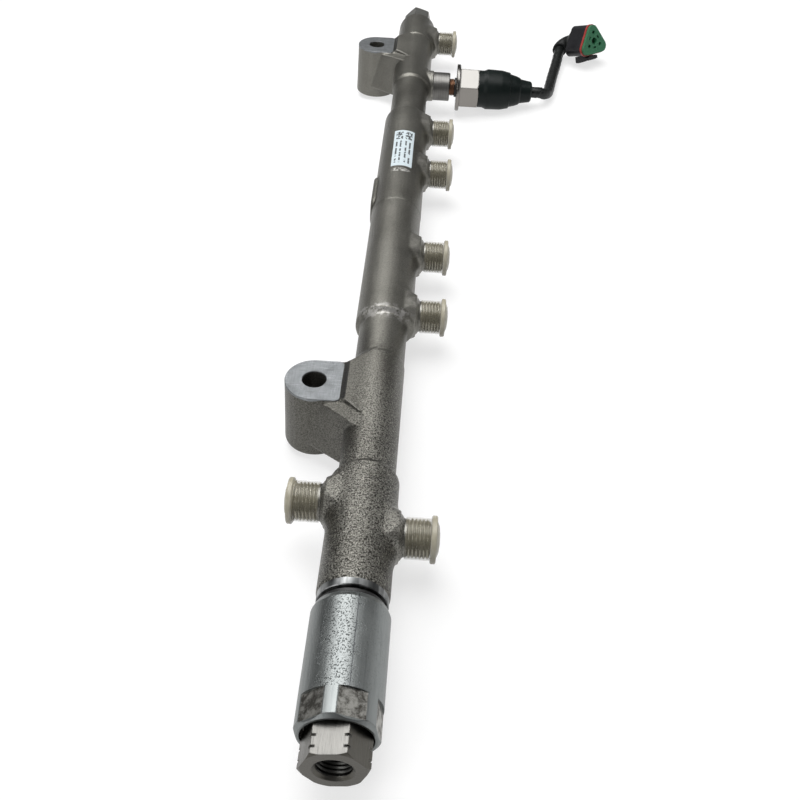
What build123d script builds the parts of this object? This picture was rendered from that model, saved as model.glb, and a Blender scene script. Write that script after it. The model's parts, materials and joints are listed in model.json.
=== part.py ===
from build123d import *
from math import cos, degrees, radians, sin, sqrt, tan
import os

# Fuel rail: a forged high-pressure rail with seven ports, two bolt lugs, a pressure sensor with a
# short pigtail, a hex end plug and a spring-loaded relief valve in the near end.
# Millimetres. Origin midway between the two bolt holes on the lugs' mounting faces.
# +Y runs along the rail towards the end plug, +X to the outlet ports, +Z up along the bolts.

# Place of the rail on its lugs
bolt_spacing = 378.0
bolt_hole_d = 11.0
axis_offset = 28.0
axis_height = 24.5
near_bolt_from_end = 113.7

# Sections of the forging from the valve end: length and radius
valve_end_length = 63.3
valve_end_r = 14.2
near_lug_length = 73.0
near_lug_r = 12.3
near_neck_length = 30.0
neck_r = 11.9
near_middle_length = 103.0
near_middle_r = 14.2
far_middle_length = 118.0
far_middle_r = 14.4
far_neck_length = 51.0
far_lug_length = 72.0
far_lug_r = 13.2
plug_end_length = 38.0
plug_end_r = 13.9
section_blend = 2.2
end_ring_length = 3.4
end_ring_step = 0.5
plug_end_chamfer = 1.0
rail_bore_d = 10.4

# Bolt lugs
lug_r = 13.5
lug_foot_r = 14.6
pad_rise = 10.5
web_drop = 16.5
shelf_rise = 9.0
saddle_dip = 0.3
pad_to_saddle = 12.8
saddle_ramp = 2.4
near_flare_start = 5.2
near_flare_root = 34.5
near_foot_start = -4.0
near_foot_root = 35.4
far_flare_start = 15.0
far_flare_root = 25.6
saddle_near_root = 25.6
foot_edge_r = 1.2

# Cuts run past a face, and joined solids run into each other
past = 1.0
lap = 0.1

# Low forged boss on the inlet side
side_boss_from_end = 290.5
side_boss_length = 38.0
side_boss_height = 18.0
side_boss_reach = 15.4
side_boss_drop = 2.0
side_boss_edge = 1.2

# Ports: pitches between outlets from the valve end, and the inlet on the other side
first_outlet_from_end = 34.2
end_pitch_near = 144.5
pair_pitch_near = 53.8
middle_pitch = 90.8
pair_pitch_far = 54.0
end_pitch_far = 148.3
inlet_from_end = 49.7
outlet_reach = 28.3
inlet_reach = 28.8
port_thread_d = 16.0
port_thread_pitch = 1.5
thread_depth_share = 0.613
port_thread_start = 18.6
port_collar_r = 7.7
port_collar_start = 16.9
flare_r = 9.3
flare_root_r = 16.5
flare_root_reach = 6.5
flare_root_side = 11.6
flare_reach = 16.2
flare_hollow = 0.4
flare_edge = 0.5
port_drill_d = 3.0
seat_mouth_r = 4.6
seat_angle = 58.0
mouth_chamfer = 0.9

# Push-on caps
cap_wall = 0.45
cap_play = 0.05
cap_sleeve_start = 18.0
cap_flange_r = 9.65
cap_flange_length = 2.3
cap_flange_edge = 0.4
cap_dome_r = 7.6
cap_dome_rise = 1.3
cap_dome_shoulder_r = 5.5
cap_dome_shoulder_rise = 0.9
cap_dome_flat_r = 2.7

# End plug
plug_hex_af = 19.0
plug_hex_length = 15.0
plug_collar_r = 10.6
plug_collar_length = 5.2
plug_seal_length = 1.2
plug_thread_d = 16.0
plug_thread_length = 15.0
plug_tip_gap = 2.0
plug_face_play = 0.4
plug_edge = 1.2
plug_hex_turn = -16.0
hex_bevel_slope = 0.58

# Relief valve holder
holder_r = 15.05
holder_gap = 3.3
holder_length = 49.8
holder_shoulder_r = 14.2
holder_shoulder_length = 2.2
holder_step_rise = 0.3
holder_step_length = 0.9
holder_hex_af = 28.0
holder_hex_length = 11.4
holder_hex_turn = 19.0
holder_end_chamfer = 1.4
holder_neck_r = 11.4
holder_thread_d = 20.0
holder_thread_length = 22.0
holder_thread_play = 1.0
holder_bore_d = 12.0
holder_mouth_d = 25.6
holder_ring_section = 1.6

# Outlet fitting with the return thread
fitting_hex_af = 21.5
fitting_hex_turn = -9.0
fitting_stand_out = 10.9
fitting_seat_depth = 4.6
fitting_stem_d = 18.0
fitting_stem_length = 9.0
fitting_stem_play = 0.05
fitting_thread_d = 14.0
fitting_thread_minor_d = 12.4
fitting_thread_depth = 13.0
fitting_bore_d = 5.0
fitting_mouth_edge = 0.3
fitting_drill_point = 3.7
fitting_edge = 1.3
fitting_groove = 0.8
fitting_groove_depth = 0.7
fitting_groove_spacing = 3.9
fitting_groove_from_end = 3.0
fitting_ring_section = 1.3

# Flats that stand for a small round section
section_sides = 8

# Valve inside the holder
seat_length = 10.0
seat_bore_d = 3.0
seat_d = 8.0
poppet_flats = 9.8
poppet_length = 14.0
poppet_cone_length = 2.4
poppet_tip_length = 0.8
poppet_tip_d = 1.6
poppet_play = 0.15
poppet_pilot_d = 5.6
poppet_pilot_length = 3.0
spring_wire_d = 1.4
spring_coil_d = 8.2
spring_turns = 7.0
spring_play = 0.05
spring_seat_length = 3.0
spring_seat_hole_d = 4.0

# Pressure sensor
sensor_from_end = 449.2
sensor_boss_r = 9.6
sensor_boss_reach = 27.6
sensor_boss_chamfer = 0.6
sensor_thread_d = 12.0
sensor_thread_depth = 11.0
sensor_neck_d = 10.9
sensor_washer_d = 13.2
sensor_washer_length = 1.3
sensor_neck_length = 3.4
sensor_relief_length = 1.5
sensor_tip_gap = 0.5
washer_seat = 1.0
washer_play = 0.05
sensor_thread_play = 0.05
sensor_flange_r = 15.9
sensor_flange_length = 2.6
sensor_hex_af = 25.4
sensor_hex_length = 13.2
sensor_hex_turn = -6.0
sensor_hex_edge = 1.6
sensor_cell_d = 4.0
sensor_cell_length = 3.0
boot_r = 13.7
boot_length = 18.0
boot_end_r = 12.2
boot_shoulder_length = 4.0
boot_collar_r = 10.2
boot_collar_length = 3.6
boot_nose_r = 8.2
boot_nose_end_r = 6.6
boot_nose_length = 7.8
boot_band_length = 4.6
boot_band_r = 12.6
boot_step = 1.0
boot_edge = 0.5
boot_straight = 11.7
boot_taper = 0.3

# Pigtail and plug
cable_d = 7.5
cable_lead = 5.5
bend_share = 0.45
plug_heading = 142.0
plug_pitch = 22.0
elbow_r = 5.8
sleeve_r = 5.3
sleeve_bell_length = 5.5
housing_gap = 0.8
housing_rear_inset = 1.0
housing_spigot_inset = 2.0
housing_length = 17.5
housing_corner_r = 4.6
housing_apex = 7.0
housing_half_base = 7.2
housing_base = 4.7
housing_wall = 1.7
seal_length = 1.6
seal_proud = 0.35
wedge_plate = 2.2
wedge_inset = 0.3
wedge_key_length = 4.0
pin_circle_r = 6.1
pin_hole_d = 2.6
wedge_centre_d = 4.8
slot_length = 2.6
slot_width = 1.3
slot_circle_r = 4.6
slot_depth = 3.3
wedge_centre_floor = 0.6
socket_wall = 0.35
socket_length = 9.0
socket_floor = 2.0
latch_width = 7.6
latch_thickness = 3.0
latch_clear = 1.2
latch_length = 15.0
latch_thumb = 1.6
latch_thumb_length = 4.6
latch_post_length = 4.4
latch_hook_width = 10.4
latch_hook_length = 3.4
latch_edge = 0.6
grommet_length = 4.0

# White sticker on the far middle section
label_from_end = 306.0
label_length = 44.8
label_width = 12.8
label_turn = 1.6
label_thickness = 0.12

near_end_y = -bolt_spacing / 2 - near_bolt_from_end
sections = [
    (valve_end_length, valve_end_r),
    (near_lug_length, near_lug_r),
    (near_neck_length, neck_r),
    (near_middle_length, near_middle_r),
    (far_middle_length, far_middle_r),
    (far_neck_length, neck_r),
    (far_lug_length, far_lug_r),
    (plug_end_length, plug_end_r),
]
rail_length = sum(length for length, radius in sections)
far_end_y = near_end_y + rail_length
outlet_pitches = [end_pitch_near, pair_pitch_near, middle_pitch, pair_pitch_far, end_pitch_far]
outlet_ys = [near_end_y + first_outlet_from_end]
for pitch in outlet_pitches:
    outlet_ys.append(outlet_ys[-1] + pitch)
inlet_y = near_end_y + inlet_from_end
sensor_y = near_end_y + sensor_from_end
port_thread_minor_r = port_thread_d / 2 - thread_depth_share * port_thread_pitch
rail_bore_r = rail_bore_d / 2

os.makedirs("parts", exist_ok=True)


def save(name, shape):
    export_step(shape, f"parts/{name}.step")


def turned(points):
    """Solid of revolution about Z from (radius, height) points."""
    outline = Polyline(*[(radius, height) for radius, height in points], close=True)
    return revolve(Plane.XZ * make_face(outline), Axis.Z)


def on_rail(y):
    """Frame on the rail axis whose Z runs along +Y."""
    return Pos(axis_offset, y, axis_height) * Rot(-90, 0, 0)


def towards_valve(y):
    """Frame on the rail axis whose Z runs along -Y, with X kept."""
    return Pos(axis_offset, y, axis_height) * Rot(90, 0, 0)


def on_port(y, side=1):
    """Frame on the rail axis whose Z points out of a port."""
    return Pos(axis_offset, y, axis_height) * Rot(0, 90 * side, 0)


def rod(radius, start, end):
    """Cylinder about Z between two heights."""
    return Pos(0, 0, start) * Cylinder(radius, end - start, align=(Align.CENTER, Align.CENTER, Align.MIN))


def hex_bar(across_flats, start, end, turn=0.0):
    """Hexagonal bar about Z, one flat's normal at the given angle from +Y towards +X."""
    side = RegularPolygon(across_flats / 2, 6, major_radius=False)
    return Pos(0, 0, start) * extrude(Rot(0, 0, -turn) * side, end - start)


def rail_stock():
    """The turned outline of the forging with blended steps between its sections."""
    points = [(0, 0)]
    ring_r = valve_end_r - end_ring_step
    points += [(ring_r, 0), (ring_r, end_ring_length), (valve_end_r, end_ring_length + end_ring_step)]
    station = 0
    for (length, radius), (next_length, next_r) in zip(sections, sections[1:]):
        station += length
        half = section_blend / 2 if abs(next_r - radius) > 1 else abs(next_r - radius)
        points += [(radius, station - half), (next_r, station + half)]
    points += [(plug_end_r, rail_length - plug_end_chamfer), (plug_end_r - plug_end_chamfer, rail_length)]
    points += [(0, rail_length)]
    return on_rail(near_end_y) * turned(points)


def port_stub(reach):
    """Flared boss, collar and threaded stub about Z, before drilling."""
    blend = ThreePointArc(
        (flare_root_r, flare_root_reach),
        ((flare_root_r + flare_r) / 2 - flare_hollow, (flare_root_reach + flare_reach) / 2 - flare_hollow),
        (flare_r, flare_reach),
    )
    edge = Polyline(
        (flare_r, flare_reach),
        (flare_r - flare_edge, port_collar_start),
        (port_collar_r, port_collar_start),
        (port_collar_r, port_thread_start),
        (port_thread_minor_r, port_thread_start),
        (port_thread_minor_r, reach - mouth_chamfer),
        (port_thread_minor_r - mouth_chamfer, reach),
        (0, reach),
        (0, flare_root_reach),
        (flare_root_r, flare_root_reach),
    )
    stub = revolve(Plane.XZ * make_face([blend, edge]), Axis.Z)
    sides = make_face(
        Polyline(
            (-flare_root_side, flare_root_reach),
            (-flare_r, flare_reach),
            (-flare_r, reach),
            (flare_r, reach),
            (flare_r, flare_reach),
            (flare_root_side, flare_root_reach),
            close=True,
        )
    )
    along_rail = Pos(0, 2 * flare_root_r, 0) * extrude(Plane.XZ * sides, 4 * flare_root_r)
    return stub & along_rail


def port_drilling(reach):
    """Sealing cone in the stub's mouth and the cross drilling to the main bore."""
    cone_depth = (seat_mouth_r - port_drill_d / 2) / tan(radians(seat_angle / 2))
    cone = [
        (0, reach + lap),
        (seat_mouth_r, reach + lap),
        (seat_mouth_r, reach),
        (port_drill_d / 2, reach - cone_depth),
        (0, reach - cone_depth),
    ]
    return turned(cone) + rod(port_drill_d / 2, 0, reach - cone_depth + lap)


def web_plan(flare_start, flare_root):
    """Plan of a lug's web: straight sides of the boss that flare out into the rail."""
    return make_face(
        Polyline(
            (flare_start, -lug_r),
            (axis_offset, -flare_root),
            (axis_offset, far_flare_root),
            (far_flare_start, lug_r),
            (flare_start, lug_r),
            close=True,
        )
    )


def lug(bolt_y, section_r):
    """Bolt boss with its machined pad, the flared web and the saddle over the rail."""
    pad_z = axis_height + pad_rise
    web_z = axis_height - web_drop
    shelf_z = axis_height + shelf_rise
    saddle_z = axis_height + section_r - saddle_dip
    boss = Cone(lug_foot_r, lug_r, pad_z, align=(Align.CENTER, Align.CENTER, Align.MIN))
    boss = fillet(boss.edges().group_by(Axis.Z)[0], foot_edge_r)
    arm_end = pad_to_saddle + past
    arm_outline = make_face(
        Polyline((0, -lug_r), (arm_end, -lug_r), (arm_end, lug_r), (0, lug_r), close=True)
    )
    arm = Pos(0, 0, web_z) * extrude(arm_outline, pad_z - web_z)
    web_foot = web_plan(near_foot_start, near_foot_root)
    web_top = Pos(0, 0, saddle_z - web_z) * web_plan(near_flare_start, near_flare_root)
    web_side = make_face(
        Polyline(
            (-axis_offset, web_z),
            (-axis_offset, shelf_z),
            (near_flare_start, shelf_z),
            (axis_offset, saddle_z - saddle_dip),
            (axis_offset, web_z),
            close=True,
        )
    )
    reach = 4 * axis_offset
    shelf = Pos(0, reach / 2, 0) * extrude(Plane.XZ * web_side, reach)
    web = (Pos(0, 0, web_z) * loft([web_foot, web_top], ruled=True)) & shelf
    saddle_plan = make_face(
        Polyline(
            (pad_to_saddle, -lug_r),
            (far_flare_start, -lug_r),
            (axis_offset, -saddle_near_root),
            (axis_offset, far_flare_root),
            (far_flare_start, lug_r),
            (pad_to_saddle, lug_r),
            close=True,
        )
    )
    saddle_side = make_face(
        Polyline(
            (pad_to_saddle, axis_height),
            (pad_to_saddle, pad_z),
            (pad_to_saddle + saddle_ramp, saddle_z),
            (axis_offset, saddle_z),
            (axis_offset, axis_height),
            close=True,
        )
    )
    ridge = Pos(0, reach / 2, 0) * extrude(Plane.XZ * saddle_side, reach)
    saddle = (Pos(0, 0, axis_height) * extrude(saddle_plan, section_r)) & ridge
    return Pos(0, bolt_y, 0) * (boss + arm + web + saddle)


def side_boss():
    """Low oblong boss a little below the axis, left plain by the forging."""
    boss = extrude(SlotOverall(side_boss_length, side_boss_height, rotation=90), side_boss_reach)
    boss = chamfer(boss.edges().group_by(Axis.Z)[-1], side_boss_edge)
    return Pos(0, 0, -side_boss_drop) * on_port(near_end_y + side_boss_from_end, -1) * boss


def rail_body():
    """The forging with all of its machining."""
    body = rail_stock()
    bolt_sections = [(-bolt_spacing / 2, near_lug_r), (bolt_spacing / 2, far_lug_r)]
    for bolt_y, section_r in bolt_sections:
        body += lug(bolt_y, section_r)
    for y in outlet_ys:
        body += on_port(y) * port_stub(outlet_reach)
    body += on_port(inlet_y, -1) * port_stub(inlet_reach)
    body += side_boss()
    boss = rod(sensor_boss_r, 0, sensor_boss_reach)
    boss = chamfer(boss.edges().group_by(Axis.Z)[-1], sensor_boss_chamfer)
    body += on_port(sensor_y) * boss
    for bolt_y, section_r in bolt_sections:
        body -= Pos(0, bolt_y, 0) * rod(bolt_hole_d / 2, -past, axis_height + pad_rise + past)
    body -= on_rail(near_end_y) * rod(rail_bore_r, -past, rail_length + past)
    for y in outlet_ys:
        body -= on_port(y) * port_drilling(outlet_reach)
    body -= on_port(inlet_y, -1) * port_drilling(inlet_reach)
    cell_room = sensor_boss_reach - sensor_thread_depth
    body -= on_port(sensor_y) * rod(sensor_thread_d / 2, cell_room, sensor_boss_reach + past)
    body -= on_port(sensor_y) * rod(port_drill_d / 2, 0, cell_room + lap)
    body -= on_rail(near_end_y) * rod(holder_thread_d / 2, -past, holder_thread_length)
    body -= towards_valve(far_end_y) * rod(plug_thread_d / 2, -past, plug_thread_length)
    plug_face_r = max(plug_collar_r, plug_hex_af / sqrt(3)) + plug_face_play
    plug_room = plug_seal_length + plug_collar_length + plug_hex_length
    return body - on_rail(far_end_y) * rod(plug_face_r, 0, plug_room)


def cap(reach):
    """Push-on cap about Z: thin sleeve, thick end flange and a shallow dome."""
    inner = port_thread_d / 2 + cap_play
    outer = inner + cap_wall
    flange_end = reach + cap_flange_length
    points = [
        (inner, cap_sleeve_start),
        (outer, cap_sleeve_start),
        (outer, reach),
        (cap_flange_r - cap_flange_edge, reach),
        (cap_flange_r, reach + cap_flange_edge),
        (cap_flange_r, flange_end - cap_flange_edge),
        (cap_flange_r - cap_flange_edge, flange_end),
        (cap_dome_r, flange_end),
        (cap_dome_shoulder_r, flange_end + cap_dome_shoulder_rise),
        (cap_dome_flat_r, flange_end + cap_dome_rise),
        (0, flange_end + cap_dome_rise),
        (0, reach),
        (inner, reach),
    ]
    return turned(points)


def end_plug():
    """Threaded plug with a collar and a chamfered hex head, Z out of the far end."""
    head_start = plug_seal_length + plug_collar_length
    head_end = head_start + plug_hex_length
    head = hex_bar(plug_hex_af, head_start, head_end, plug_hex_turn)
    corner_r = plug_hex_af / sqrt(3)
    bevel = [
        (0, head_start),
        (corner_r, head_start),
        (corner_r, head_end - plug_edge * hex_bevel_slope),
        (corner_r - plug_edge, head_end),
        (0, head_end),
    ]
    head = head & turned(bevel)
    body = rod(plug_collar_r, plug_seal_length, head_start) + head
    body += rod(plug_thread_d / 2, plug_tip_gap - plug_thread_length, plug_seal_length + lap)
    return body


def end_plug_seal():
    """Flat sealing ring under the plug's collar."""
    ring_body = rod(plug_collar_r, 0, plug_seal_length)
    return ring_body - rod(plug_thread_d / 2, -past, plug_seal_length + past)


holder_start = holder_gap
holder_end = holder_start + holder_length
fitting_end = holder_end + fitting_stand_out
fitting_seat = holder_end - fitting_seat_depth
stem_end = fitting_seat - fitting_stem_length
seat_start = -holder_thread_length + holder_thread_play
cavity_start = seat_start + seat_length
cavity_end = stem_end
ring_neck_r = holder_neck_r - holder_ring_section
spring_seat_start = cavity_end - spring_seat_length
spring_foot = cavity_start + poppet_length


def relief_valve_holder():
    """Plated holder, Z out of the near end: threaded neck, round barrel, six milled flats."""
    barrel = turned(
        [
            (0, holder_start),
            (holder_shoulder_r, holder_start),
            (holder_shoulder_r + holder_step_rise, holder_start + holder_step_length),
            (holder_r, holder_start + holder_shoulder_length),
            (holder_r, holder_end - holder_end_chamfer),
            (holder_r - holder_end_chamfer, holder_end),
            (0, holder_end),
        ]
    )
    hex_start = holder_end - holder_hex_length
    hexagon = hex_bar(holder_hex_af, hex_start - past, holder_end + 2 * past, holder_hex_turn)
    barrel -= rod(holder_r + past, hex_start, holder_end + past) - hexagon
    neck = rod(ring_neck_r, -lap, holder_start + lap)
    thread = rod(holder_thread_d / 2, seat_start, 0)
    body = barrel + neck + thread
    body -= rod(seat_d / 2, seat_start - past, cavity_start + lap)
    body -= rod(holder_bore_d / 2, cavity_start, cavity_end)
    body -= rod(fitting_stem_d / 2, cavity_end, fitting_seat)
    body -= rod(holder_mouth_d / 2, fitting_seat, holder_end + past)
    return body


def ring(inner_r, section, middle):
    """Sealing ring about Z, its round section drawn with flats."""
    outline = RegularPolygon(section, section_sides, rotation=180 / section_sides)
    return revolve(Plane.XZ * (Pos(inner_r + section, middle) * outline), Axis.Z)


def outlet_fitting():
    """Hex fitting screwed into the holder, with the return thread in its end."""
    corner_r = fitting_hex_af / sqrt(3)
    body = hex_bar(fitting_hex_af, fitting_seat + 2 * fitting_ring_section, fitting_end, fitting_hex_turn)
    bevel = [
        (0, fitting_seat),
        (corner_r, fitting_seat),
        (corner_r, fitting_end - fitting_edge * hex_bevel_slope),
        (corner_r - fitting_edge, fitting_end),
        (0, fitting_end),
    ]
    body = body & turned(bevel)
    groove_floor = corner_r - fitting_groove_depth
    for step in range(2):
        middle = fitting_end - fitting_groove_from_end - step * fitting_groove_spacing
        start = middle - fitting_groove / 2
        core = rod(groove_floor, start - past, start + fitting_groove + past)
        body -= rod(corner_r + past, start, start + fitting_groove) - core
    stem_r = fitting_stem_d / 2 - fitting_stem_play
    body += rod(stem_r, stem_end, fitting_seat + 2 * fitting_ring_section + lap)
    thread_start = fitting_end - fitting_thread_depth
    mouth_r = fitting_thread_d / 2 + fitting_mouth_edge
    minor_r = fitting_thread_minor_d / 2
    body -= turned(
        [
            (0, fitting_end + past),
            (mouth_r, fitting_end + past),
            (mouth_r, fitting_end),
            (minor_r, fitting_end - (mouth_r - minor_r)),
            (minor_r, thread_start),
            (0, thread_start - fitting_drill_point),
        ]
    )
    body -= rod(fitting_bore_d / 2, stem_end - past, thread_start + past)
    return body


def valve_seat():
    """Hardened seat pressed into the holder's neck."""
    body = rod(seat_d / 2, seat_start, cavity_start)
    return body - rod(seat_bore_d / 2, seat_start - past, cavity_start + past)


def valve_poppet():
    """Conical poppet that closes the seat: fluted guide and a pilot for the spring."""
    guide_r = holder_bore_d / 2 - poppet_play
    guide_start = cavity_start + poppet_cone_length
    guide = rod(guide_r, guide_start, spring_foot) & (
        Pos(0, 0, guide_start) * extrude(Rectangle(poppet_flats, poppet_flats), poppet_length)
    )
    cone = turned(
        [
            (0, cavity_start - poppet_tip_length),
            (poppet_tip_d / 2, cavity_start - poppet_tip_length),
            (seat_bore_d / 2 - poppet_play, cavity_start),
            (poppet_pilot_d / 2, guide_start + lap),
            (0, guide_start + lap),
        ]
    )
    return guide + cone + rod(poppet_pilot_d / 2, spring_foot - lap, spring_foot + poppet_pilot_length)


def valve_spring():
    """Round-wire compression spring between the poppet's shoulder and the spring seat."""
    wire_r = spring_wire_d / 2
    height = spring_seat_start - spring_foot - 2 * (wire_r + spring_play)
    coil_r = spring_coil_d / 2
    path = Helix(height / spring_turns, height, coil_r)
    section = Plane(path @ 0, z_dir=path % 0) * RegularPolygon(wire_r, section_sides)
    return Pos(0, 0, spring_foot + wire_r + spring_play) * sweep(section, path=path)


def spring_seat():
    """Drilled disc under the fitting's stem that carries the spring."""
    disc = rod(holder_bore_d / 2 - poppet_play, spring_seat_start, cavity_end)
    return disc - rod(spring_seat_hole_d / 2, spring_seat_start - past, cavity_end + past)


flange_start = sensor_boss_reach + sensor_neck_length + sensor_washer_length
hex_start = flange_start + sensor_flange_length
boot_start = hex_start + sensor_hex_length
collar_start = boot_start + boot_band_length + boot_length + boot_shoulder_length
nose_start = collar_start + boot_collar_length
boot_end = nose_start + boot_nose_length
stem_tip = sensor_boss_reach - sensor_thread_depth + sensor_tip_gap


def sensor_body():
    """Threaded stem, neck, round flange and hex of the pressure sensor, Z outwards."""
    stem_r = sensor_thread_d / 2 - sensor_thread_play
    washer_start = sensor_boss_reach + sensor_neck_length
    relief_start = sensor_boss_reach - sensor_relief_length
    body = rod(stem_r, stem_tip, relief_start)
    body += rod(sensor_neck_d / 2, relief_start - lap, washer_start)
    body += rod(sensor_neck_d / 2 - washer_seat, washer_start - lap, flange_start + lap)
    flange = rod(sensor_flange_r, flange_start, hex_start)
    body += chamfer(flange.edges(), sensor_flange_length / 5)
    corner_r = sensor_hex_af / sqrt(3)
    bevel = turned(
        [
            (0, hex_start - lap),
            (corner_r, hex_start - lap),
            (corner_r, boot_start - sensor_hex_edge * hex_bevel_slope),
            (corner_r - sensor_hex_edge, boot_start),
            (0, boot_start),
        ]
    )
    body += hex_bar(sensor_hex_af, hex_start - lap, boot_start, sensor_hex_turn) & bevel
    return body - rod(sensor_cell_d / 2, stem_tip - past, stem_tip + sensor_cell_length)


def sensor_cell():
    """Pressure cell in the tip of the stem."""
    return rod(sensor_cell_d / 2, stem_tip, stem_tip + sensor_cell_length)


def sensor_washer():
    """Black sealing washer behind the flange."""
    start = sensor_boss_reach + sensor_neck_length
    ring_body = rod(sensor_washer_d / 2, start, flange_start)
    return ring_body - rod(sensor_neck_d / 2 - washer_seat + washer_play, start - past, flange_start + past)


def sensor_boot():
    """Moulded boot: narrow band, barrel, sloping shoulder and cable nose."""
    barrel_start = boot_start + boot_band_length
    barrel_end = barrel_start + boot_length
    return turned(
        [
            (0, boot_start),
            (boot_band_r, boot_start),
            (boot_band_r, barrel_start - boot_step),
            (boot_r - boot_edge, barrel_start + boot_edge),
            (boot_r, barrel_start + 3 * boot_edge),
            (boot_r - boot_taper, barrel_start + boot_straight),
            (boot_end_r, barrel_end - boot_edge),
            (boot_end_r - boot_step, barrel_end),
            (boot_collar_r, collar_start),
            (boot_nose_r + boot_step, nose_start - boot_step),
            (boot_nose_r, nose_start),
            (boot_nose_end_r + boot_edge, boot_end - boot_step),
            (boot_nose_end_r - boot_edge, boot_end),
            (0, boot_end),
        ]
    )


# Pigtail: out of the boot, down to the surface that the rail lies on, back to the plug
cable_exit = (axis_offset + boot_end, sensor_y, axis_height)
cable_route = [
    cable_exit,
    (axis_offset + boot_end + cable_lead, sensor_y, axis_height),
    (124.3, 149.2, 22.4),
    (127.2, 155.0, 20.4),
    (129.3, 167.5, 20.1),
    (132.4, 186.0, 20.5),
    (136.2, 205.0, 21.6),
    (139.5, 224.5, 24.3),
]


def cable_radii(route):
    """Largest tangent arcs that each corner's two runs allow."""
    radii = []
    points = [Vector(*point) for point in route]
    for before, corner, after in zip(points, points[1:], points[2:]):
        turn = (corner - before).get_angle(after - corner)
        shorter = min((corner - before).length, (after - corner).length)
        radii.append(bend_share * shorter / tan(radians(turn / 2)))
    return radii


def pigtail_cable():
    """Taped cable along its route."""
    radii = cable_radii(cable_route)
    print("cable radii", [round(radius, 1) for radius in radii])
    path = FilletPolyline(*cable_route, radius=radii)
    section = Plane(path @ 0, z_dir=path % 0) * Circle(cable_d / 2)
    tube = sweep(section, path=path)
    print("cable length", round(path.length, 1), "volume share", tube.volume / section.area / path.length)
    return tube


route_end = Vector(*cable_route[-1])
lead_in = (route_end - Vector(*cable_route[-2])).normalized()
plug_axis = Vector(
    sin(radians(plug_heading)) * cos(radians(plug_pitch)),
    cos(radians(plug_heading)) * cos(radians(plug_pitch)),
    sin(radians(plug_pitch)),
)
elbow_turn = radians(lead_in.get_angle(plug_axis))
elbow_side = (plug_axis - lead_in * lead_in.dot(plug_axis)).normalized()


def elbow_point(turn):
    """Point of the sleeve's elbow after a turn from the cable's end."""
    return route_end + (lead_in * sin(turn) + elbow_side * (1 - cos(turn))) * elbow_r


plug_across = Vector(0, 0, 1).cross(plug_axis).normalized()
plug_frame = Plane(elbow_point(elbow_turn), x_dir=plug_across, z_dir=plug_axis).location
housing_start = sleeve_bell_length + housing_gap
housing_end = housing_start + housing_length


def trefoil(inset=0.0):
    """Rounded triangle of the plug's section, apex up, moved in by an inset."""
    centres = [(0, housing_apex), (-housing_half_base, -housing_base), (housing_half_base, -housing_base)]
    return make_hull(
        [edge for centre in centres for edge in (Pos(*centre) * Circle(housing_corner_r - inset)).edges()]
    )


def connector_sleeve():
    """Rubber sleeve: elbow from the cable and a bell over the rear of the housing."""
    arc = ThreePointArc(route_end, elbow_point(elbow_turn / 2), elbow_point(elbow_turn))
    elbow = sweep(Plane(arc @ 0, z_dir=arc % 0) * Circle(sleeve_r), path=arc)
    bell = loft([Circle(sleeve_r), Pos(0, 0, sleeve_bell_length) * trefoil(housing_rear_inset)])
    return elbow + plug_frame * bell


def connector_housing():
    """Plug housing with its rear spigot, front socket for the wedge and latch below."""
    body = Pos(0, 0, housing_start) * extrude(trefoil(), housing_length)
    body += Pos(0, 0, sleeve_bell_length) * extrude(trefoil(housing_spigot_inset), housing_gap + lap)
    socket_start = housing_end - wedge_key_length
    body -= Pos(0, 0, socket_start) * extrude(trefoil(housing_wall), wedge_key_length + past)
    groove_start = housing_end - seal_length
    groove = extrude(trefoil() - trefoil(housing_wall / 2), seal_length + past)
    body -= Pos(0, 0, groove_start) * groove
    for x, y in pin_places():
        body -= Pos(x, y, 0) * rod(pin_hole_d / 2, socket_start - socket_length, socket_start + past)
    body -= Pos(0, 0, sleeve_bell_length) * extrude(grommet_outline(), grommet_length)
    return plug_frame * (body + latch())


def latch():
    """Springy lever under the housing: hook at the front, thumb pad at the rear."""
    base_y = -housing_base - housing_corner_r
    top_y = base_y - latch_clear
    bottom_y = top_y - latch_thickness
    middle_z = housing_start + housing_length / 2
    rear_z = middle_z - latch_length / 2
    front_z = middle_z + latch_length / 2
    side = make_face(
        Polyline(
            (top_y, rear_z),
            (top_y, front_z),
            (bottom_y + latch_edge, front_z),
            (bottom_y, front_z - latch_edge),
            (bottom_y, rear_z + latch_thumb_length),
            (bottom_y - latch_thumb, rear_z + latch_thumb_length - latch_edge),
            (bottom_y - latch_thumb, rear_z + latch_edge),
            (bottom_y - latch_thumb + latch_edge, rear_z),
            close=True,
        )
    )
    lever = Pos(-latch_width / 2, 0, 0) * extrude(Plane.YZ * side, latch_width)
    hook = Box(latch_hook_width, latch_thickness - latch_edge, latch_hook_length)
    hook = chamfer(hook.edges(), latch_edge / 2)
    hook_z = front_z - latch_hook_length / 2
    post = Box(latch_width, latch_clear + housing_wall / 2, latch_post_length)
    post_y = base_y + housing_wall / 4 - latch_clear / 2
    return lever + Pos(0, top_y - latch_thickness / 2, hook_z) * hook + Pos(0, post_y, middle_z) * post


def grommet_outline():
    """Section of the wire seal inside the spigot."""
    return trefoil(housing_spigot_inset + housing_wall)


def connector_grommet():
    """Rubber wire seal in the rear of the housing."""
    return plug_frame * (Pos(0, 0, sleeve_bell_length) * extrude(grommet_outline(), grommet_length))


def pin_places():
    """Three contacts on a circle, one below the apex."""
    return [
        (pin_circle_r * sin(radians(angle)), pin_circle_r * cos(radians(angle))) for angle in (0, 120, 240)
    ]


def connector_seal():
    """Ring seal round the front of the housing, a little proud of it."""
    outline = trefoil(-seal_proud) - trefoil(housing_wall / 2)
    return plug_frame * (Pos(0, 0, housing_end - seal_length) * extrude(outline, seal_length))


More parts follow.
